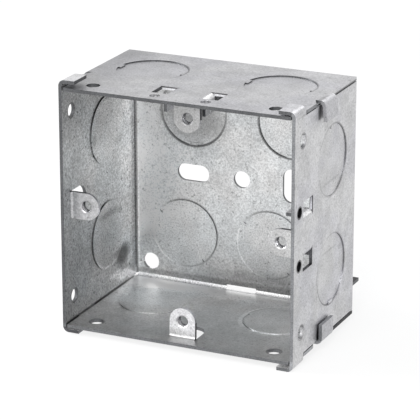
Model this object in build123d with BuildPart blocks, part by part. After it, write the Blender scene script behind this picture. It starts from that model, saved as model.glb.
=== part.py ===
from build123d import *
from math import pi
import os

# Flush back box for one switch or socket, pressed and folded from one blank of galvanised steel,
# with two fixed screw lugs and two lugs that slide sideways to level the front plate.
# X runs to the right, Y runs from the front rim to the back, and Z runs up.
# The origin is the middle of the front opening, in the plane of the rim.

# Box, in millimetres
screw_centres_across = 60.3  # between the left and right lugs, as every front plate needs
screw_centres_up = 60.3
lug_inset = 5.85  # from the outside of a wall to the screw in its lug
box_depth = 47.0
sheet = 1.0
back_bend = 1.5  # inside radius of the folds round the back panel
small_bend = 0.8  # inside radius of the lugs, ears, tabs and tongue
seam_gap = 0.3  # between the end of a side wall and the wall above or below it
corner_nick = 1.8  # open corner where two back folds would meet
lance_gap = 0.15  # between a bent flap and the edge that it was cut from

# Tabs that lap one wall over the next
lap_gap = 0.35  # daylight under a closed tab
sprung_gap_top = 1.2  # the left tab on top stands proud
sprung_gap_bottom = 1.0  # so does the right tab below
corner_tab_length = 7.6
corner_tab_reach = 5.0
lock_tab_front = 18.0
lock_tab_length = 8.5
lock_tab_reach = 6.0
lock_notch_length = 3.2
lock_notch_depth = 1.6
lock_tab_lean = 0.6  # how far the tip of the right tab on top leans out of line

# Screw lugs
screw_bore = 3.2
screw_mouth = 0.3  # bevel round the front of each screw bore
lug_half_width = 4.0
lug_front = 4.5  # from the rim to the face of a fixed lug
screw_collar = 5.0
screw_collar_height = 1.2

# Sliding lugs
slide_sheet = 1.2
slide_bend = 0.5
slide_front = 4.3
slide_clearance = 0.12
slide_travel = 2.0  # each way from the middle
slide_bar_half_width = 5.8
slide_bar_length = 2.8
right_lug_drop = 1.9  # how far the side lug stands below its middle
top_lug_shift = 1.7  # how far the top lug stands to the right of its middle

# Windows, ears and stops that guide the sliding lugs
ear_play = 0.3
window_inner = 4.6
window_length = 6.9
ear_flap = 5.6
stop_depth = 3.6
stop_radius = 1.5
stop_height = 0.7

# Knockouts
knockout_radius = 10.4
knockout_push = 0.3  # how far a sheared disc stands out of the sheet
bridge_width = 3.0
bridge_length = 2.0
wall_knockout_depth = 27.5
side_knockout_spacing = 16.3
flat_knockout_spacing = 20.0
upper_knockout_spacing = 15.7
upper_knockout_height = 18.9
lower_knockout_height = -19.2
lower_left_knockout = -18.4
lower_right_knockout = 9.2

# Holes
corner_hole_radius = 2.0
corner_hole_depth = 5.6
corner_hole_inset = 8.1
back_hole_radius = 2.6
back_slot_length = 10.3
back_slot_spacing = 15.75
low_hole_inset = 6.1
drain_width = 9.6
drain_height = 1.3
drain_inset = 1.1

# Tongue lanced out of the back, low on the right
tongue_width = 8.0
tongue_edge = 2.5  # from the right side of the box
tongue_height = 7.0  # of its upper face, above the underside of the box
tongue_reach = 9.2

# Worked out from the sizes above
box_width = screw_centres_across + 2 * lug_inset
box_height = screw_centres_up + 2 * lug_inset
half_width = box_width / 2
half_height = box_height / 2
cut_through = 1.5 * sheet
window_front = slide_front + slide_sheet + slide_bend + ear_play
window_back = window_front + window_length
window_outer = window_inner + ear_flap
stop_spacing = lug_half_width + slide_travel + slide_clearance + lance_gap + stop_radius
slide_neck_half_width = window_inner - slide_travel - slide_clearance

# Outer face of each wall: y runs back from the rim and z points out of the box
walls = {
    "right": Plane(origin=(half_width, 0, 0), x_dir=(0, 0, -1), z_dir=(1, 0, 0)),
    "left": Plane(origin=(-half_width, 0, 0), x_dir=(0, 0, 1), z_dir=(-1, 0, 0)),
    "top": Plane(origin=(0, 0, half_height), x_dir=(1, 0, 0), z_dir=(0, 0, 1)),
    "bottom": Plane(origin=(0, 0, -half_height), x_dir=(-1, 0, 0), z_dir=(0, 0, -1)),
}
half_span = {"right": half_height, "left": half_height, "top": half_width, "bottom": half_width}
back_panel = Plane(origin=(0, box_depth, 0), x_dir=(-1, 0, 0), z_dir=(0, 1, 0))


def fold_allowance(thickness):
    """How much longer the flat blank is than the overall drop of a right-angle fold."""
    return pi / 2 * (small_bend + thickness / 2) - (small_bend + thickness)


def section_plane(wall, place, leg):
    """Plane across a strip: x runs along the strip and y points out of its convex face."""
    return Plane(origin=wall.from_local_coords(place), x_dir=leg, z_dir=leg.cross(wall.z_dir))


def folded_strip(plane, start, corner, drop, thickness, radius, width, lean=0.0):
    """Strip that runs along the plane's x as far as the corner and is folded there to run down."""
    with BuildSketch(plane) as profile:
        with BuildLine():
            Polyline(
                (start, 0),
                (corner, 0),
                (corner + lean, -drop),
                (corner + lean - thickness, -drop),
                (corner - thickness, -thickness),
                (start, -thickness),
                close=True,
            )
        make_face()
        fillet(vertices().sort_by_distance((corner, 0))[0], radius=radius + thickness)
        fillet(vertices().sort_by_distance((corner - thickness, -thickness))[0], radius=radius)
    extrude(profile.sketch, amount=width / 2, both=True)


def cut_holes(face, shape, places):
    """The same hole straight through the sheet at each place."""
    with BuildSketch(face) as profile:
        with Locations(*places):
            add(shape)
    extrude(profile.sketch, amount=-cut_through, mode=Mode.SUBTRACT)


def knockout(face, place, push, bridges, first_bridge):
    """Disc sheared almost free and pushed inward, or outward below zero, but for its bridges."""
    modes = (Mode.SUBTRACT, Mode.ADD) if push > 0 else (Mode.ADD, Mode.SUBTRACT)
    for pressed_face, mode in zip((face, face.offset(-sheet)), modes):
        with BuildSketch(pressed_face) as profile:
            with Locations(place):
                Circle(knockout_radius)
                with PolarLocations(knockout_radius, bridges, start_angle=first_bridge):
                    Rectangle(bridge_length, bridge_width, mode=Mode.SUBTRACT)
        extrude(profile.sketch, amount=-push, mode=mode)


def open_seams(wall, half):
    """Part a top or bottom wall from the side walls at both ends, round the corner tabs."""
    tab_gap_back = corner_tab_length + lap_gap
    seam_back = box_depth - corner_nick
    for end in (-1, 1):
        with BuildSketch(wall) as profile:
            with Locations((end * (half - sheet - lap_gap / 2), tab_gap_back / 2)):
                Rectangle(lap_gap, tab_gap_back)
            with Locations((end * (half - sheet / 2), corner_tab_length + lap_gap / 2)):
                Rectangle(sheet + 2 * lap_gap, lap_gap)
        extrude(profile.sketch, amount=-sheet, mode=Mode.SUBTRACT)
        with BuildSketch(wall.offset(-sheet)) as profile:
            with Locations((end * (half - (sheet + seam_gap) / 2), (corner_tab_length + seam_back) / 2)):
                Rectangle(sheet + seam_gap, seam_back - corner_tab_length)
        extrude(profile.sketch, amount=-seam_gap, mode=Mode.SUBTRACT)


def lap_tab(wall, half, end, front, length, reach, gap, lean=0.0):
    """Tab at one end of a wall, folded over the outside of the wall that it meets."""
    plane = section_plane(wall, (0, front + length / 2, 0), wall.x_dir * end)
    folded_strip(plane, half - sheet, half + gap + sheet, reach, sheet, small_bend, length, lean)


def lock_notch(wall, half, end):
    """Nick in the edge of a wall in front of its locking tab."""
    with BuildSketch(wall) as profile:
        with BuildLine():
            Polyline(
                (end * (half + sheet), lock_tab_front - lock_notch_length),
                (end * half, lock_tab_front - lock_notch_length),
                (end * (half - lock_notch_depth), lock_tab_front),
                (end * (half + sheet), lock_tab_front),
                close=True,
            )
        make_face()
    extrude(profile.sketch, amount=-sheet, mode=Mode.SUBTRACT)


def lug_end(wall, front, place, thickness):
    """Round end, collar and screw bore of a lug whose plate is already folded in."""
    face = Plane(
        origin=wall.from_local_coords((place, front, -lug_inset)),
        x_dir=wall.x_dir,
        z_dir=(0, -1, 0),
    )
    with BuildSketch(face) as profile:
        Circle(lug_half_width)
    extrude(profile.sketch, amount=-thickness)
    with BuildSketch(face) as profile:
        Circle(screw_collar / 2)
    extrude(profile.sketch, amount=-thickness - screw_collar_height)
    with BuildSketch(face) as profile:
        Circle(screw_bore / 2)
    extrude(profile.sketch, amount=-thickness - 2 * screw_collar_height, mode=Mode.SUBTRACT)
    chamfer(edges().sort_by_distance(face.origin)[0], length=screw_mouth)


def fixed_lug(wall):
    """D-shaped lug lanced out of the wall and folded in, with the hole that it leaves behind it."""
    bend_start = lug_front - small_bend
    flap_end = bend_start + lug_inset + fold_allowance(sheet)
    hole_half_width = lug_half_width + lance_gap
    with BuildSketch(wall) as profile:
        with Locations((0, (bend_start + flap_end) / 2)):
            Rectangle(2 * hole_half_width, flap_end - bend_start)
        with Locations((0, flap_end)):
            Circle(hole_half_width)
    extrude(profile.sketch, amount=-cut_through, mode=Mode.SUBTRACT)
    plane = section_plane(wall, (0, 0, 0), wall.y_dir)
    width = 2 * lug_half_width
    folded_strip(plane, bend_start - sheet, lug_front + sheet, lug_inset, sheet, small_bend, width)
    lug_end(wall, lug_front, 0, sheet)


def slide_guide(wall):
    """Two windows whose flaps are folded in as ears, and two pressed stops in front of them."""
    fold = window_inner + small_bend + sheet
    drop = ear_flap - lance_gap - fold_allowance(sheet)
    middle = (window_front + window_back) / 2
    for side in (-1, 1):
        with BuildSketch(wall) as profile:
            with Locations((side * (window_inner + window_outer) / 2, middle)):
                Rectangle(ear_flap, window_length)
        extrude(profile.sketch, amount=-cut_through, mode=Mode.SUBTRACT)
        plane = section_plane(wall, (0, middle, 0), wall.x_dir * side)
        width = window_length - 2 * lance_gap
        folded_strip(plane, window_inner - sheet, fold, drop, sheet, small_bend, width)
        with BuildSketch(wall) as profile:
            with Locations((side * stop_spacing, stop_depth)):
                Circle(stop_radius)
        extrude(profile.sketch, amount=-stop_height, mode=Mode.SUBTRACT)
        with BuildSketch(wall.offset(-sheet)) as profile:
            with Locations((side * stop_spacing, stop_depth)):
                Circle(stop_radius + lance_gap)
        extrude(profile.sketch, amount=-stop_height)


def sliding_lug(wall, place):
    """Loose lug: a plate with a screw bore, folded from a tail that runs back between the ears."""
    skin = -sheet - slide_clearance
    shoulder = window_front - lance_gap
    bar_front = window_back + lance_gap
    bar_back = bar_front + slide_bar_length
    plane = section_plane(wall, (place, 0, skin), -wall.y_dir)
    width = 2 * lug_half_width
    drop = lug_inset + skin
    folded_strip(plane, -shoulder, -slide_front, drop, slide_sheet, slide_bend, width)
    with BuildSketch(wall.offset(skin)) as profile:
        with Locations((place, (shoulder + bar_back) / 2)):
            Rectangle(2 * slide_neck_half_width, bar_back - shoulder)
        with Locations((place, (bar_front + bar_back) / 2)):
            Rectangle(2 * slide_bar_half_width, slide_bar_length)
    extrude(profile.sketch, amount=-slide_sheet)
    lug_end(wall, slide_front, place, slide_sheet)


def tongue():
    """Tongue lanced out of the back and folded straight back, with the hole that it leaves above."""
    upper_face = tongue_height - half_height
    middle = half_width - tongue_edge - tongue_width / 2
    bend_start = upper_face - small_bend - sheet
    flap = sheet + tongue_reach + fold_allowance(sheet)
    with BuildSketch(back_panel) as profile:
        with Locations((-middle, bend_start + flap / 2)):
            Rectangle(tongue_width + 2 * lance_gap, flap)
    extrude(profile.sketch, amount=-cut_through, mode=Mode.SUBTRACT)
    plane = Plane(origin=(middle, box_depth - sheet, 0), x_dir=(0, 0, 1), z_dir=(1, 0, 0))
    drop = sheet + tongue_reach
    folded_strip(plane, bend_start - sheet, upper_face, drop, sheet, small_bend, tongue_width)


# Box: one blank folded up round the back panel, open at the front and parted at the corner seams
with BuildPart() as back_box:
    with BuildSketch(Plane.XZ):
        Rectangle(box_width, box_height)
    extrude(amount=-box_depth)
    fillet(faces().sort_by(Axis.Y)[-1].edges(), radius=back_bend + sheet)
    offset(amount=-sheet, openings=faces().sort_by(Axis.Y)[0])
    with Locations(Plane(origin=(0, box_depth, 0), z_dir=(0, 1, 0))):
        with GridLocations(box_width, box_height, 2, 2):
            Box(2 * corner_nick, 2 * corner_nick, 2 * corner_nick, mode=Mode.SUBTRACT)
    for name in ("top", "bottom"):
        open_seams(walls[name], half_span[name])
        for end in (-1, 1):
            lock_notch(walls[name], half_span[name], end)

    # Round holes near the front corners of all four walls
    with BuildSketch(mode=Mode.PRIVATE) as corner_hole:
        Circle(corner_hole_radius)
    for name, wall in walls.items():
        across = half_span[name] - corner_hole_inset
        places = [(-across, corner_hole_depth), (across, corner_hole_depth)]
        cut_holes(wall, corner_hole.sketch, places)

    # Knockouts: two in each wall and four in the back, of which the upper two are pushed outward
    for name in ("left", "right"):
        knockout(walls[name], (-side_knockout_spacing, wall_knockout_depth), knockout_push, 1, 180)
        knockout(walls[name], (side_knockout_spacing, wall_knockout_depth), knockout_push, 1, 0)
    for name in ("top", "bottom"):
        for place in (-flat_knockout_spacing, flat_knockout_spacing):
            knockout(walls[name], (place, wall_knockout_depth), knockout_push, 2, 0)
    for place in (-upper_knockout_spacing, upper_knockout_spacing):
        knockout(back_panel, (place, upper_knockout_height), -knockout_push, 2, 90)
    for place in (lower_left_knockout, lower_right_knockout):
        knockout(back_panel, (-place, lower_knockout_height), knockout_push, 2, 45)

    # Fixing holes in the back: round in the middle, slots at both sides and round low on the left
    with BuildSketch(back_panel):
        Circle(back_hole_radius)
        with Locations((back_slot_spacing, 0)):
            SlotOverall(back_slot_length, 2 * back_hole_radius)
        with Locations((-back_slot_spacing, 0)):
            SlotOverall(back_slot_length, 2 * back_hole_radius, rotation=90)
        with Locations((half_width - low_hole_inset, low_hole_inset - half_height)):
            Circle(back_hole_radius)
    extrude(amount=-cut_through, mode=Mode.SUBTRACT)

    # Narrow slot along the fold at the bottom of the back
    with BuildSketch(back_panel):
        with Locations((0, drain_inset + drain_height / 2 - half_height)):
            Rectangle(drain_width, drain_height)
    extrude(amount=-back_bend - sheet, mode=Mode.SUBTRACT)
    tongue()

    # Lugs, guides and tabs
    for name in ("left", "bottom"):
        fixed_lug(walls[name])
    for name in ("right", "top"):
        slide_guide(walls[name])
    lock_tab = (lock_tab_front, lock_tab_length, lock_tab_reach, lap_gap)
    leaning = {("top", 1): lock_tab_lean}
    for name in ("top", "bottom"):
        for end in (-1, 1):
            lean = leaning.get((name, end), 0)
            lap_tab(walls[name], half_span[name], end, *lock_tab, lean)
    sprung = {("left", 1): sprung_gap_top, ("right", 1): sprung_gap_bottom}
    for name in ("left", "right"):
        for end in (-1, 1):
            gap = sprung.get((name, end), lap_gap)
            lap_tab(walls[name], half_span[name], end, 0, corner_tab_length, corner_tab_reach, gap)
back_box.part.label = "back_box"

# Side lug, which slides up and down
with BuildPart() as right_lug:
    sliding_lug(walls["right"], right_lug_drop)
right_lug.part.label = "right_lug"

# Top lug, which slides from side to side
with BuildPart() as top_lug:
    sliding_lug(walls["top"], top_lug_shift)
top_lug.part.label = "top_lug"

os.makedirs("parts", exist_ok=True)
export_step(back_box.part, "parts/back_box.step")
export_step(right_lug.part, "parts/right_lug.step")
export_step(top_lug.part, "parts/top_lug.step")
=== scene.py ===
import bmesh
import bpy
import math
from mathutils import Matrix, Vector
from mathutils.bvhtree import BVHTree


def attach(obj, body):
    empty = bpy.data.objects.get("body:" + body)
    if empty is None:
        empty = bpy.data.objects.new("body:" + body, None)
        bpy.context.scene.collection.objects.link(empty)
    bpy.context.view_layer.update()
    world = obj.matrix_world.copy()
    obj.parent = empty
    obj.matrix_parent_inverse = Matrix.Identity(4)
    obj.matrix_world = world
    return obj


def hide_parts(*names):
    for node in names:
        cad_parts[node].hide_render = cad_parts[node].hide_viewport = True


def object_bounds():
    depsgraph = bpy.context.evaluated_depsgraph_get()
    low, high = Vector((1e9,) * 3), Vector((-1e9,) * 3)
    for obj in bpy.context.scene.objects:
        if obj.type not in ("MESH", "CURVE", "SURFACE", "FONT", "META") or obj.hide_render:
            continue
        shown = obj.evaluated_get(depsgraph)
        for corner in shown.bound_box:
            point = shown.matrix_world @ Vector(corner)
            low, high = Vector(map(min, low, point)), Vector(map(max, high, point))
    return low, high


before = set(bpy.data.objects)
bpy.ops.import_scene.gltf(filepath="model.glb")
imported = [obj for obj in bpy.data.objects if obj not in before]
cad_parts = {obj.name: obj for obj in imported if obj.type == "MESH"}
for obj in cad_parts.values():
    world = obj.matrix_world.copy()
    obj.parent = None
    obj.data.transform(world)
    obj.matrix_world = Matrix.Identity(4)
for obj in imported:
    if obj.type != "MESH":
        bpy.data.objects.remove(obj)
cad_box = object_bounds()
MM = 0.001

# Camera: a long lens, to the right of the box and above it, looking down into the open front.
dip, turn = math.radians(18.72), math.radians(24.57)
camera_data = bpy.data.cameras.new("camera")
camera_data.lens = 213.14
camera_data.sensor_width = 36.0
camera_data.clip_end = 20.0
camera = bpy.data.objects.new("camera", camera_data)
camera.location = Vector((281.3, -591.85, 226.79)) * MM
camera.rotation_euler = (math.radians(90) - dip, 0, turn)
bpy.context.scene.collection.objects.link(camera)
bpy.context.scene.camera = camera
bpy.context.scene.view_settings.view_transform = "Standard"


# Studio floor: a wide matt board that the box rests on. It looks nearly white to the camera and
# keeps the soft shadow of the box.
def linear(hex_code):
    """A colour as linear red, green, blue and alpha, from its sRGB hex value."""
    channels = [int(hex_code[i:i + 2], 16) / 255 for i in (0, 2, 4)]
    return [c / 12.92 if c <= 0.04045 else ((c + 0.055) / 1.055) ** 2.4 for c in channels] + [1.0]


def add_node(tree, kind, inputs=None, output=0, **settings):
    """Adds a node and gives one of its outputs. An input is a value, or an output to link."""
    node = tree.nodes.new(kind)
    for name, value in settings.items():
        setattr(node, name, value)
    for socket, value in (inputs or {}).items():
        if isinstance(value, bpy.types.NodeSocket):
            tree.links.new(value, node.inputs[socket])
        else:
            node.inputs[socket].default_value = value
    return node.outputs[output]


def empty_tree(owner):
    """The node tree of a material or a world, emptied."""
    owner.use_nodes = True
    owner.node_tree.nodes.clear()
    return owner.node_tree


def background_rays(tree):
    """One for the rays that see the white background: from the camera, in metal and through glass."""
    rays = add_node(tree, "ShaderNodeLightPath").node.outputs
    seen = rays["Is Camera Ray"]
    for kind in ("Is Glossy Ray", "Is Transmission Ray"):
        seen = add_node(tree, "ShaderNodeMath", {0: seen, 1: rays[kind]}, operation="MAXIMUM")
    return seen


floor_reach = 4.0
white_share = 0.8  # the rest of what those rays see of the board is its paint, with the shadow on it
board = bpy.data.materials.new("matt_white_board")
tree = empty_tree(board)
share = {0: background_rays(tree), 1: white_share}
share = add_node(tree, "ShaderNodeMath", share, operation="MULTIPLY")
paint = add_node(tree, "ShaderNodeBsdfDiffuse", {"Color": linear("f2f2f2")})
glow = add_node(tree, "ShaderNodeEmission", {"Color": linear("ffffff"), "Strength": 1.0})
surface = add_node(tree, "ShaderNodeMixShader", {0: share, 1: paint, 2: glow})
tree.links.new(surface, tree.nodes.new("ShaderNodeOutputMaterial").inputs["Surface"])
floor_mesh = bpy.data.meshes.new("floor")
shape = bmesh.new()
bmesh.ops.create_grid(shape, x_segments=1, y_segments=1, size=floor_reach)
bmesh.ops.translate(shape, verts=shape.verts, vec=(0, 0, cad_box[0].z))
shape.to_mesh(floor_mesh)
shape.free()
floor = bpy.data.objects.new("floor", floor_mesh)
floor_mesh.materials.append(board)
bpy.context.scene.collection.objects.link(floor)

# Studio light: an even pale surround and three broad soft lamps, in front, to the left and behind,
# all above the box and turned to it.
surround_strength = 0.74
lamp_width = 0.7
world = bpy.data.worlds.new("studio")
bpy.context.scene.world = world
tree = empty_tree(world)
pale = {"Color": linear("f4f5f6"), "Strength": surround_strength}
surround = add_node(tree, "ShaderNodeBackground", pale)
backdrop = add_node(tree, "ShaderNodeBackground", {"Color": linear("ffffff"), "Strength": 1.0})
sky = add_node(tree, "ShaderNodeMixShader", {0: background_rays(tree), 1: surround, 2: backdrop})
tree.links.new(sky, tree.nodes.new("ShaderNodeOutputWorld").inputs["Surface"])
for name, place, power in (  # places in metres and powers in watts
    ("lamp_front", (0.1, -0.8, 0.9), 8.0),
    ("lamp_left", (-1.1, -0.2, 0.4), 14.0),
    ("lamp_back", (0.2, 0.8, 0.8), 1.5),
):
    lamp_data = bpy.data.lights.new(name, "AREA")
    lamp_data.shape = "DISK"
    lamp_data.size = lamp_width
    lamp_data.energy = power
    lamp = bpy.data.objects.new(name, lamp_data)
    lamp.location = place
    lamp.rotation_euler = (-Vector(place)).to_track_quat("-Z", "Y").to_euler()
    bpy.context.scene.collection.objects.link(lamp)


# Box: one blank of galvanised sheet 1 mm thick, sheared, pierced and folded up. Its zinc is dull,
# finely speckled and cloudy, and each wall has its own shade, lines and stains. Places are in
# millimetres from the middle of the rim.
ACROSS, DEEP, UP = 0, 1, 2
OUTER, INNER, BACK = 36, 35, 46  # outer and inner faces of the walls, and inner face of the back
MID_WALL, MID_BACK = 35.5, 46.5  # half way through the sheet
DISC_DEPTH, SIDE_DISC, FLAT_DISC = 27.5, 16.3, 20  # knockouts in the side walls, the top and the bottom
UPPER_DISC, UPPER_DISC_UP = 15.7, 18.9  # the upper two in the back
LOW_LEFT_DISC, LOW_RIGHT_DISC, LOW_DISC_UP = -18.4, 9.2, -19.2  # and the lower two
HOLE_DEPTH, HOLE_PLACE = 5.6, 27.9  # round holes near the front corners
STOP_DEPTH, STOP_PLACE = 3.6, 7.77  # pressed stops in front of the windows
STOP_FRONT, STOP_BACK = 1.9, 5.3
WINDOW_FRONT, WINDOW_BACK = 6, 14  # a little more than the windows take up
LOCKING_TABS, BACK_FOLDS, TONGUE = 16, 44, 47.2  # how far back each of these starts
TAB_FACE = 36.1  # only the tabs stand out further than this
THROUGH, ALONG = 9, 90  # reach of a stain that goes through the sheet, or along a whole fold


def product(tree, factors):
    """Multiplies grey values together."""
    total = factors[0]
    for factor in factors[1:]:
        total = add_node(tree, "ShaderNodeMath", {0: total, 1: factor}, operation="MULTIPLY")
    return total


def span(value, start, end, low, high):
    """Inputs that turn a value from start to end into low to high, and stay there beyond them."""
    return {"Value": value, "From Min": start, "From Max": end, "To Min": low, "To Max": high}


def galvanised(
    name, base, roughness, tones=(), lines=(), stains_and_painted_light=(), speckle=0.10, metallic=1.0, worn_edge=0.0,
):
    """Galvanised sheet: zinc grain, dark specks and pale clouds, times its tones, lines, and stains and
    painted light.
    Tones and lines also carry painted light and shade. A tone is (axis, start, end, factor at the
    start, factor at the end), a line is (centre, radius, half width, direction, factor that way, factor
    the other way), and each of the stains and painted light is (centre, reach along each axis, factor).
    A worn edge is the radius that sharp edges seem to have."""
    grains, spots, clouds, tints = 2.1, 1.1, 0.16, 0.07  # how many of each fit in a millimetre
    grain_swing, speck_drop, cloud_swing = 1.6 * speckle, 3 * speckle, 0.09
    line_start, line_end, line_core = 0.1, 0.95, 0.3  # where a line fades in along it and across it
    patch_core = 0.35
    grain_height = 0.04 * MM
    smooth = {"interpolation_type": "SMOOTHSTEP"}
    material = bpy.data.materials.new(name)
    tree = empty_tree(material)
    metres = add_node(tree, "ShaderNodeTexCoord", output="Object")
    place = add_node(tree, "ShaderNodeVectorMath", {0: metres, "Scale": 1000.0}, operation="SCALE")
    fine = {"Vector": place, "Scale": grains, "Detail": 3.0, "Roughness": 0.6}
    grain = add_node(tree, "ShaderNodeTexNoise", fine)
    specks = add_node(tree, "ShaderNodeTexNoise", {"Vector": place, "Scale": spots, "Detail": 2.0})
    broad = {"Vector": place, "Scale": clouds, "Detail": 4.0, "Roughness": 0.6}
    cloud = add_node(tree, "ShaderNodeTexNoise", broad)
    patterns = [
        span(grain, 0.32, 0.68, 1 - grain_swing, 1 + grain_swing),
        span(specks, 0.62, 0.72, 1.0, 1 - speck_drop),
        span(cloud, 0.35, 0.65, 1 - cloud_swing, 1 + cloud_swing),
    ]
    factors = [add_node(tree, "ShaderNodeMapRange", pattern, **smooth) for pattern in patterns]
    axes = add_node(tree, "ShaderNodeSeparateXYZ", {0: place}).node.outputs
    for axis, start, end, low, high in tones:
        tone = span(axes[axis], start, end, low, high)
        factors.append(add_node(tree, "ShaderNodeMapRange", tone, **smooth))
    for centre, radius, half_width, direction, towards, away in lines:
        offset = add_node(tree, "ShaderNodeVectorMath", {0: place, 1: centre}, operation="SUBTRACT")
        ends = {0: place, 1: centre}
        apart = add_node(tree, "ShaderNodeVectorMath", ends, "Value", operation="DISTANCE")
        off_line = add_node(tree, "ShaderNodeMath", {0: apart, 1: radius}, operation="SUBTRACT")
        off_line = add_node(tree, "ShaderNodeMath", {0: off_line}, operation="ABSOLUTE")
        ends = {0: offset, 1: Vector(direction).normalized()}
        along = add_node(tree, "ShaderNodeVectorMath", ends, "Value", operation="DOT_PRODUCT")
        depth = span(along, line_start * radius, line_end * radius, away - 1, towards - 1)
        depth = add_node(tree, "ShaderNodeMapRange", depth, **smooth)
        band = span(off_line, line_core * half_width, half_width, 1.0, 0.0)
        band = add_node(tree, "ShaderNodeMapRange", band, **smooth)
        band = add_node(tree, "ShaderNodeMath", {0: band, 1: depth}, operation="MULTIPLY")
        factors.append(add_node(tree, "ShaderNodeMath", {0: band, 1: 1.0}, operation="ADD"))
    for centre, reach, factor in stains_and_painted_light:
        offset = add_node(tree, "ShaderNodeVectorMath", {0: place, 1: centre}, operation="SUBTRACT")
        offset = add_node(tree, "ShaderNodeVectorMath", {0: offset, 1: reach}, operation="DIVIDE")
        apart = add_node(tree, "ShaderNodeVectorMath", {0: offset}, "Value", operation="LENGTH")
        patch = span(apart, patch_core, 1.0, factor, 1.0)
        factors.append(add_node(tree, "ShaderNodeMapRange", patch, **smooth))
    tint = add_node(tree, "ShaderNodeTexNoise", {"Vector": place, "Scale": tints, "Detail": 2.0})
    tint = add_node(tree, "ShaderNodeMapRange", span(tint, 0.38, 0.62, 0.0, 1.0), **smooth)
    shade = add_node(tree, "ShaderNodeMixRGB", {0: tint, 1: linear(base[0]), 2: linear(base[1])})
    factor = product(tree, factors)
    colour = add_node(tree, "ShaderNodeVectorMath", {0: shade, "Scale": factor}, operation="SCALE")
    relief = {"Height": grain, "Strength": 0.25, "Distance": grain_height}
    if worn_edge:
        relief["Normal"] = add_node(tree, "ShaderNodeBevel", {"Radius": worn_edge * MM}, samples=4)
    bump = add_node(tree, "ShaderNodeBump", relief)
    metal = {"Base Color": colour, "Metallic": metallic, "Roughness": roughness, "Normal": bump}
    surface = add_node(tree, "ShaderNodeBsdfPrincipled", metal)
    tree.links.new(surface, tree.nodes.new("ShaderNodeOutputMaterial").inputs["Surface"])
    return material


def pressed_ring(centre, direction, towards, away):
    """The dark sheared line round a knockout, strongest in one direction, where painted shade darkens
    it.
    """
    radius, half_width = 10.5, 0.38
    return (centre, radius, half_width, direction, towards, away)


def hole_ring(centre, factor, radius=2.15):
    """The dark line round a pierced hole or a stop, equally strong all the way round."""
    half_width = 0.35
    return (centre, radius, half_width, (1, 1, 1), factor, factor)


# Plain zinc, as the sheet came: dull and evenly speckled.
zinc, zinc_roughness = ("cfcfd0", "cacace"), 0.36
plain_zinc = galvanised("galvanised_plain", zinc, zinc_roughness)

# Sheared and pierced edges, where steel shows: dark grey, darker in shade, and painted paler on the
# right wall and along the bottom: painted light.
sheared_steel = galvanised(
    "sheared_edge", ("67686a", "67686a"), 0.5, speckle=0.12,
    tones=[(ACROSS, 34.6, 35.2, 1.0, 2.0), (UP, -35.0, -34.6, 1.4, 1.0)],
)
# Edges and faces that lie in deep shade, painted nearly black: painted shade.
dark_edge = galvanised("shaded_edge", ("3a3a3c", "3a3a3c"), 0.5)
# Cut edges of the windows in the right wall and a few others: darker grey steel, with a painted
# highlight on the back edge of the upper window.
window_edge = galvanised(
    "window_edge", ("5c5c5f", "5c5c5f"), 0.4,
    stains_and_painted_light=[((35.45, 13.2, 7.2), (0.38, 1, 3.6), 6.0)],
)
# Cut edges painted pale: painted light on the edges of the upper locking tab and of the corner holes in
# the right wall, and a painted highlight on the fronts of the stops in the top.
painted_lit_edge = galvanised("painted_lit_edge_steel", ("c8c8ca", "c8c8ca"), 0.4)

# Half sheared edge of a window: a dark cut above, and bright torn steel below it.
half_edge = galvanised(
    "half_sheared_edge", ("dcdcdf", "d6d6d9"), 0.5, metallic=0.2,
    tones=[(UP, 35.5, 35.7, 1.0, 0.12)],
)

# Outside of the top: zinc a shade duller than the walls, darker to the left, with dark sheared lines
# round its knockouts, painted darker on one side as shade, a painted highlight along the far edge of
# the left one, and painted shade on the fold of the locking tab at the right.
top_left, top_right = (-FLAT_DISC, DISC_DEPTH, OUTER), (FLAT_DISC, DISC_DEPTH, OUTER)
top_zinc = galvanised(
    "galvanised_top", ("b7b7b9", "b2b2b6"), zinc_roughness,
    tones=[(ACROSS, -OUTER, -16, 0.7, 1.0), (ACROSS, 5, 28, 1.0, 1.06)],
    lines=[
        pressed_ring(top_left, (1, 0.7, 0), 0.4, 0.97),
        pressed_ring(top_right, (1, 0.8, 0), 0.55, 0.92),
        (top_left, 10.8, 0.4, (-0.6, 1, 0), 1.25, 0.97),
    ],
    stains_and_painted_light=[((OUTER, 19, 36.4), (1.6, 6, 1.6), 0.72)],
)

# Outside of the right wall: scuffs across both knockouts, dark sheared lines round them, painted darker
# on one side as shade, dark lines round the corner holes, and painted shade round the stops, beside
# both locking tabs and along the seam at the top.
right_upper, right_lower = (OUTER, DISC_DEPTH, SIDE_DISC), (OUTER, DISC_DEPTH, -SIDE_DISC)
right_zinc = galvanised(
    "galvanised_right", zinc, zinc_roughness,
    tones=[(UP, -OUTER, OUTER, 0.86, 0.90)],
    lines=[
        pressed_ring(right_upper, (0, 1, 0.5), 0.6, 0.78),
        pressed_ring(right_lower, (0, 1, 1), 0.7, 0.93),
        pressed_ring(right_lower, (0, -1, -1), 0.5, 1.0),
        hole_ring((OUTER, HOLE_DEPTH, HOLE_PLACE), 0.55),
        hole_ring((OUTER, HOLE_DEPTH, -HOLE_PLACE), 0.6),
        hole_ring((OUTER, STOP_DEPTH, STOP_PLACE), 0.25, 1.7),
        hole_ring((OUTER, STOP_DEPTH, -STOP_PLACE), 0.25, 1.7),
    ],
    stains_and_painted_light=[
        ((OUTER, 27, 10.2), (THROUGH, 9.5, 0.5), 0.8),
        ((OUTER, 27, -10.4), (THROUGH, 8.5, 0.5), 0.82),
        ((OUTER, 34.5, -11.5), (THROUGH, 1.8, 1.2), 0.8),
        ((OUTER, 17.2, 33.0), (THROUGH, 1.5, 3.6), 0.4),
        ((OUTER, 35, 35.0), (2, 40, 0.6), 0.3),
        ((OUTER, 17.7, -33.5), (THROUGH, 0.8, 3.4), 0.3),
    ],
)
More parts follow.
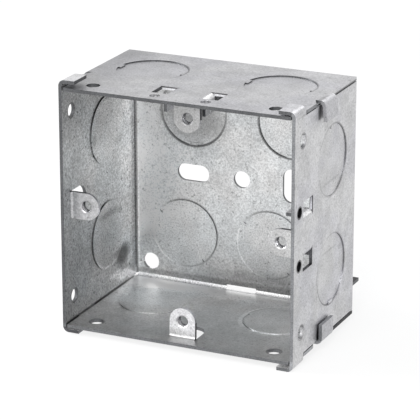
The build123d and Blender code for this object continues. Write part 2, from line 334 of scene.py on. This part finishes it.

# Inside of the left wall: stronger speckle, a black smudge low at the back, scuffs across both
# knockouts, darker round the lower one, painted light and shade that darkens it towards the front and
# the bottom and brightens it towards the back, painted shade in the seam below and in the fold behind,
# dark sheared lines round the knockouts, painted darker on one side as shade, and painted highlights
# below the lower knockout and low in the back corner.
inner_zinc = ("cecece", "cacccd")
left_seam = ((-INNER, 22, -INNER), (0.7, 40, 0.7), 0.35)
left_fold = ((-34.6, 45.6, 0), (0.9, 0.9, ALONG), 0.3)
left_upper, left_lower = (-INNER, DISC_DEPTH, SIDE_DISC), (-INNER, DISC_DEPTH, -SIDE_DISC)
left_zinc = galvanised(
    "galvanised_left", inner_zinc, zinc_roughness, speckle=0.22,
    tones=[(DEEP, 0, 24, 0.88, 1.0), (DEEP, 28, 45, 1.0, 1.35), (UP, -OUTER, 16, 0.66, 1.0)],
    lines=[
        pressed_ring(left_upper, (0, -0.6, 1), 0.25, 0.9),
        hole_ring((-INNER, HOLE_DEPTH, HOLE_PLACE), 0.5),
        hole_ring((-INNER, HOLE_DEPTH, -HOLE_PLACE), 0.5),
        pressed_ring(left_upper, (0, 1, 0.1), 0.6, 1.0),
        pressed_ring(left_lower, (0, -1, 0.4), 0.45, 0.88),
        (left_lower, 10.1, 0.6, (0, 0.1, -1), 1.5, 1.0),
    ],
    stains_and_painted_light=[
        left_seam,
        left_fold,
        ((-INNER, 36.8, -25.5), (THROUGH, 6.4, 4.6), 0.2),
        ((-INNER, 33.0, -24.0), (THROUGH, 4.5, 1.6), 0.7),
        ((-INNER, 27.5, -17), (THROUGH, 9.0, 12.0), 0.88),
        ((-INNER, 28, -9.8), (THROUGH, 10.0, 1.6), 0.66),
        ((-INNER, 35, -10.8), (THROUGH, 2.2, 1.2), 0.7),
        ((-INNER, 19, 15), (THROUGH, 2.0, 2.5), 0.7),
        ((-INNER, 34, 11.5), (THROUGH, 3.5, 2.0), 0.75),
        ((-INNER, 32, -30.4), (THROUGH, 5.0, 1.6), 1.6),
        ((-INNER, 38, -32.0), (THROUGH, 6.0, 2.0), 2.0),
        ((-INNER, 44, -33.4), (THROUGH, 5.0, 2.4), 2.2),
    ],
)

# Inside of the bottom: painted shade that darkens it towards the front, darker to the right, painted
# shade in the seam at the left, and painted highlights along the back fold and on arcs round its
# knockouts, with a dark arc on the right one.
bottom_left, bottom_right = (-FLAT_DISC, DISC_DEPTH, -INNER), (FLAT_DISC, DISC_DEPTH, -INNER)
bottom_zinc = galvanised(
    "galvanised_bottom", inner_zinc, zinc_roughness, speckle=0.10,
    tones=[(DEEP, 2, 42, 0.67, 1.12), (ACROSS, -30, 0, 1.25, 0.86)],
    lines=[
        (bottom_left, 10.6, 0.6, (0, 1, 0), 1.1, 0.9),
        hole_ring((-HOLE_PLACE, HOLE_DEPTH, -INNER), 0.5),
        hole_ring((HOLE_PLACE, HOLE_DEPTH, -INNER), 0.5),
        (bottom_right, 11.2, 0.9, (-1, 0.4, 0), 1.3, 1.0),
        (bottom_right, 10.3, 0.4, (-1, 0, 0), 0.65, 1.0),
        (bottom_right, 10.6, 0.6, (0, -1, 0), 1.3, 1.0),
    ],
    stains_and_painted_light=[left_seam, ((0, MID_BACK, -34.5), (ALONG, 12.0, 4.0), 1.75)],
)

# Inside of the back: bright to the left, painted shade towards the bottom, at the lower right and in a
# band above the bottom fold, painted shade in the fold at the left, dark rims at the upper knockouts,
# painted darker below as shade, of which the left one is dark all over, and painted highlights on the
# rims of the lower ones.
upper_left, upper_right = (-UPPER_DISC, BACK, UPPER_DISC_UP), (UPPER_DISC, BACK, UPPER_DISC_UP)
low_left, low_right = (LOW_LEFT_DISC, BACK, LOW_DISC_UP), (LOW_RIGHT_DISC, BACK, LOW_DISC_UP)
back_zinc = galvanised(
    "galvanised_back", inner_zinc, zinc_roughness, speckle=0.13,
    tones=[(ACROSS, -INNER, -5, 1.4, 1.0), (UP, 0, 18, 1.25, 1.1), (UP, -OUTER, -16, 0.53, 1.0)],
    lines=[
        (upper_left, 10.5, 0.55, (0.2, 0, -1), 0.3, 0.6),
        (upper_right, 10.5, 0.5, (-0.6, 0, -1), 0.3, 0.6),
        (low_left, 10.5, 0.45, (-1, 0, -0.3), 1.4, 0.66),
        (low_right, 10.5, 0.45, (-0.9, 0, -0.4), 1.35, 0.7),
    ],
    stains_and_painted_light=[
        left_fold,
        (upper_left, (13.5, THROUGH, 13.5), 0.54),
        ((0, BACK, -33.2), (ALONG, THROUGH, 1.6), 0.62),
        ((12, BACK, -32.5), (36, THROUGH, 6.0), 0.62),
    ],
)

# Folds, and upper faces of the tabs under the bottom, painted nearly white: a painted highlight on the
# folds and painted light in the shade of the tabs.
# Locking tabs, and the bridges of the lower knockouts in the back, a little duller than the plain zinc:
# painted shade.
painted_light_fold = galvanised("painted_light_fold", ("f2f2f2", "e6e6e8"), 0.55, speckle=0.14)
tab_zinc = galvanised("folded_tab", ("bababd", "b2b2b5"), 0.4)

# Screw lugs: flat bright plates with worn edges, painted lightest on the bottom lug, darker on the side
# lugs and darkest on the top one: painted light and shade.
# Freshly tapped, shinier steel in their bores.
lug_zinc = galvanised(
    "galvanised_lug_plate", ("dedede", "d8d8da"), 0.4, speckle=0.12, worn_edge=0.16,
    tones=[(UP, -20, -32, 0.78, 1.2), (UP, 20, 30, 1.0, 0.77)],
)
bore_steel = galvanised("tapped_bore", ("b4b4b6", "a8a8aa"), 0.16, speckle=0.05)
finishes = [
    plain_zinc, sheared_steel, dark_edge, window_edge, painted_lit_edge, top_zinc, right_zinc, left_zinc,
    bottom_zinc, back_zinc, painted_light_fold, tab_zinc, half_edge, lug_zinc, bore_steel,
]

# The sheared rim and the bridges of each knockout: the axis that it is pressed along, its middle in
# the sheet, and its finish.
knockouts = [
    (ACROSS, (side * MID_WALL, DISC_DEPTH, place), finish)
    for side, finish in ((-1, left_zinc), (1, right_zinc))
    for place in (SIDE_DISC, -SIDE_DISC)
]
knockouts += [
    (UP, (place, DISC_DEPTH, side * MID_WALL), finish)
    for side, finish in ((1, sheared_steel), (-1, bottom_zinc))
    for place in (-FLAT_DISC, FLAT_DISC)
]
knockouts += [
    (DEEP, (-UPPER_DISC, MID_BACK, UPPER_DISC_UP), back_zinc),
    (DEEP, (UPPER_DISC, MID_BACK, UPPER_DISC_UP), back_zinc),
    # the rim of the lower left one is painted nearly black: painted shade
    (DEEP, (LOW_LEFT_DISC, MID_BACK, LOW_DISC_UP), dark_edge),
    (DEEP, (LOW_RIGHT_DISC, MID_BACK, LOW_DISC_UP), window_edge),
]


def in_bore(point, lugs):
    """Whether a point in millimetres is on the wall of a lug's screw bore."""
    front, back, reach = 3.9, 7, 1.65
    return any(
        front < point.y < back and math.hypot(point.x - x, point.z - z) < reach for x, z in lugs
    )


def on_rim(point, normal):
    """The finish of the knockout whose rim or bridge a point in millimetres is on, if any."""
    inside, outside, leaning = 8.2, 10.9, 0.9
    for axis, centre, finish in knockouts:
        if inside < math.dist(point, centre) < outside and abs(normal[axis]) < leaning:
            return finish


def edge_of(x, y, z, normal):
    """Which finish a sheared edge has, from where it is in millimetres and which way it looks."""
    off_middle = min(abs(x), abs(z))  # how far along its wall
    by_window = WINDOW_FRONT < y < WINDOW_BACK and off_middle < 12
    by_stop = STOP_FRONT < y < STOP_BACK and off_middle < 10
    by_hole = 3 < y < 8 and off_middle > 25
    in_right, in_top, in_bottom_seam = x > 34, z > 34.9, z < -34.4 and x > 33
    looks_down, looks_forward = normal.z < -0.5, normal.y < -0.5
    if x > 36.05:  # edges of the tabs that lap over the right wall, painted light on the upper one
        return painted_lit_edge if z > 20 else sheared_steel
    if y > BACK_FOLDS and abs(x) < 34 and z < -33:  # ends of the slot in the bottom fold: painted highlight
        return painted_light_fold
    if z < -35.9 and x < 0 and looks_forward:  # front of the left tab under the bottom
        return window_edge
    # edges along the seam at the bottom right, painted nearly black behind the front: painted shade
    if in_bottom_seam:
        return dark_edge if y > 18 else sheared_steel
    if in_right and by_window and looks_down:  # upper ends of the side windows
        return right_zinc
    # edges of the stops in the right wall, painted nearly black: painted shade in their recesses
    if in_right and by_stop:
        return dark_edge
    if in_right and by_window:
        return window_edge
    # cut walls of the corner holes in the right wall, painted pale: painted light
    if in_right and by_hole:
        return painted_lit_edge
    # stops in the top: their front walls painted pale, a painted highlight
    if in_top and by_stop:
        return painted_lit_edge if normal.y < 0 else sheared_steel
    if in_top and x > MID_WALL and y > LOCKING_TABS:  # seam along the right of the top
        return right_zinc
    if in_top and by_window and looks_forward:  # far sides of the top windows
        return half_edge
    return sheared_steel


def finish_of(face, thickness, lugs):
    """Which finish a face has, from where it is in millimetres and which way it looks."""
    cut_edge = 2.6  # more metal behind a face than any sheet is thick
    middle = face.calc_center_median() / MM
    normal = face.normal
    x, y, z = middle
    in_ear_fold = 5 < y < 15 and 4.4 < min(x, z) < 6.6 and 28 < max(x, z) < 35.8
    in_bottom_fold = y > BACK_FOLDS and abs(x) < 34.8 and z < -33
    if in_bore(middle, lugs):
        return bore_steel
    rim = on_rim(middle, normal)
    if rim:
        return rim
    if thickness > cut_edge:
        return edge_of(x, y, z, normal)
    if INNER < x < 35.95 and STOP_FRONT < y < STOP_BACK and 5.5 < abs(z) < 10:  # floors of the stops, painted nearly black: painted shade in the recesses
        return dark_edge
    # upper face of the tongue behind the back, painted nearly black: painted shade
    if y > TONGUE:
        return dark_edge if normal.z > 0.5 else plain_zinc
    # outer faces of the ear folds: painted highlight
    if in_ear_fold and normal.x + normal.z > 0.8:
        return painted_light_fold
    # faces of the locking tabs, a little darker: painted shade
    if y > LOCKING_TABS and max(x, z) > TAB_FACE:
        return tab_zinc
    # the back fold of the bottom: painted highlight
    if in_bottom_fold and normal.y < -0.25 and normal.z > 0.35:
        return painted_light_fold
    if abs(normal.y) > max(abs(normal.x), abs(normal.z)):
        if normal.y < 0 and y > 43:
            # the sloping bridges of the lower knockouts in the back get the darker tab zinc: painted
            # shade over their glint
            bridge = normal.y > -0.998 and abs(x) < 32 and -31 < z < 0
            return tab_zinc if bridge else back_zinc
        return lug_zinc if normal.y < 0 and 4 < y < 7 else plain_zinc
    if abs(normal.z) > abs(normal.x):
        if normal.z > 0 and z < -36.2:  # upper faces of the tabs that lap under the bottom: painted light in their shade
            return painted_light_fold
        if normal.z > 0 and 33 < z < TAB_FACE:
            return top_zinc
        return bottom_zinc if normal.z > 0 and z < -32 else plain_zinc
    if normal.x > 0 and 33 < x < TAB_FACE:
        return right_zinc
    return left_zinc if normal.x > 0 and x < -32 else plain_zinc


def dressed(node, name, lugs):
    """A node's mesh, merged by doubles, with a finish for each face and crisp folds and edges."""
    same_place, just_inside = 0.002 * MM, 0.01 * MM
    no_metal_behind = 100
    crisp = math.radians(28)
    mesh = bpy.data.meshes.new(name)
    shape = bmesh.new()
    shape.from_mesh(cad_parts[node].data)
    bmesh.ops.remove_doubles(shape, verts=shape.verts, dist=same_place)
    solid = BVHTree.FromBMesh(shape)
    for face in shape.faces:
        start = face.calc_center_median() - face.normal * just_inside
        reach = solid.ray_cast(start, -face.normal)[3]
        thickness = no_metal_behind if reach is None else reach / MM
        face.material_index = finishes.index(finish_of(face, thickness, lugs))
        face.smooth = True
    for edge in shape.edges:
        edge.smooth = edge.calc_face_angle(0) < crisp
    shape.to_mesh(mesh)
    shape.free()
    for finish in finishes:
        mesh.materials.append(finish)
    piece = bpy.data.objects.new(name, mesh)
    bpy.context.scene.collection.objects.link(piece)
    flat = piece.modifiers.new("flat_faces", "WEIGHTED_NORMAL")
    flat.keep_sharp = True
    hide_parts(node)
    return piece


def thread(name, x, z, front, back, body, slot):
    """The thread of a screw bore: a pointed ridge that winds from its front to its back."""
    pitch, root, crest, half_base = 0.6, 1.62, 1.42, 0.25
    run_in, turns_left_off, steps_a_turn = 0.3, 0.6, 20
    turns = (back - front) / pitch - turns_left_off
    shape = bmesh.new()
    profile = [(root, -half_base), (crest, 0.0), (root, half_base)]
    corners = [shape.verts.new(Vector((x + r, front + run_in + y, z)) * MM) for r, y in profile]
    section = shape.faces.new(corners)
    bmesh.ops.spin(
        shape, geom=[section, *section.edges, *corners], cent=Vector((x, 0, z)) * MM, axis=(0, 1, 0),
        dvec=Vector((0, pitch / steps_a_turn, 0)) * MM, angle=2 * math.pi * turns,
        steps=round(steps_a_turn * turns),
    )
    bmesh.ops.recalc_face_normals(shape, faces=shape.faces)
    mesh = bpy.data.meshes.new(name)
    shape.to_mesh(mesh)
    shape.free()
    mesh.materials.append(bore_steel)
    ridge = bpy.data.objects.new(name, mesh)
    bpy.context.scene.collection.objects.link(ridge)
    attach(ridge, body)


SCREW_REACH = 30.15  # half of the 60.3 mm between the screws of opposite lugs
FIXED_LUG_FRONT, BORE_BACK = 4.8, 6.7  # how far back the threads start and end
box = dressed("back_box", "folded_box", [(-SCREW_REACH, 0), (0, -SCREW_REACH)])
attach(box, "box")
for name, place in (("left_lug_thread", (-SCREW_REACH, 0)), ("bottom_lug_thread", (0, -SCREW_REACH))):
    thread(name, *place, FIXED_LUG_FRONT, BORE_BACK, "box", "galvanised_sheet")

# Sliding lugs: two loose tongues of sheet 1.2 mm thick, blanked, folded and tapped. Each is held
# between two ears of its wall, where it slides to level the front plate.
RIGHT_LUG_DROP, TOP_LUG_SHIFT = 1.9, 1.7  # how far each rests from the middle of its wall
SLIDING_LUG_FRONT = 4.6
for node, name, place in (
    ("right_lug", "side_sliding_lug", (SCREW_REACH, -RIGHT_LUG_DROP)),
    ("top_lug", "top_sliding_lug", (TOP_LUG_SHIFT, SCREW_REACH)),
):
    lug = dressed(node, name, [place])
    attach(lug, node)
    thread(node + "_thread", *place, SLIDING_LUG_FRONT, BORE_BACK, node, "galvanised_lug")
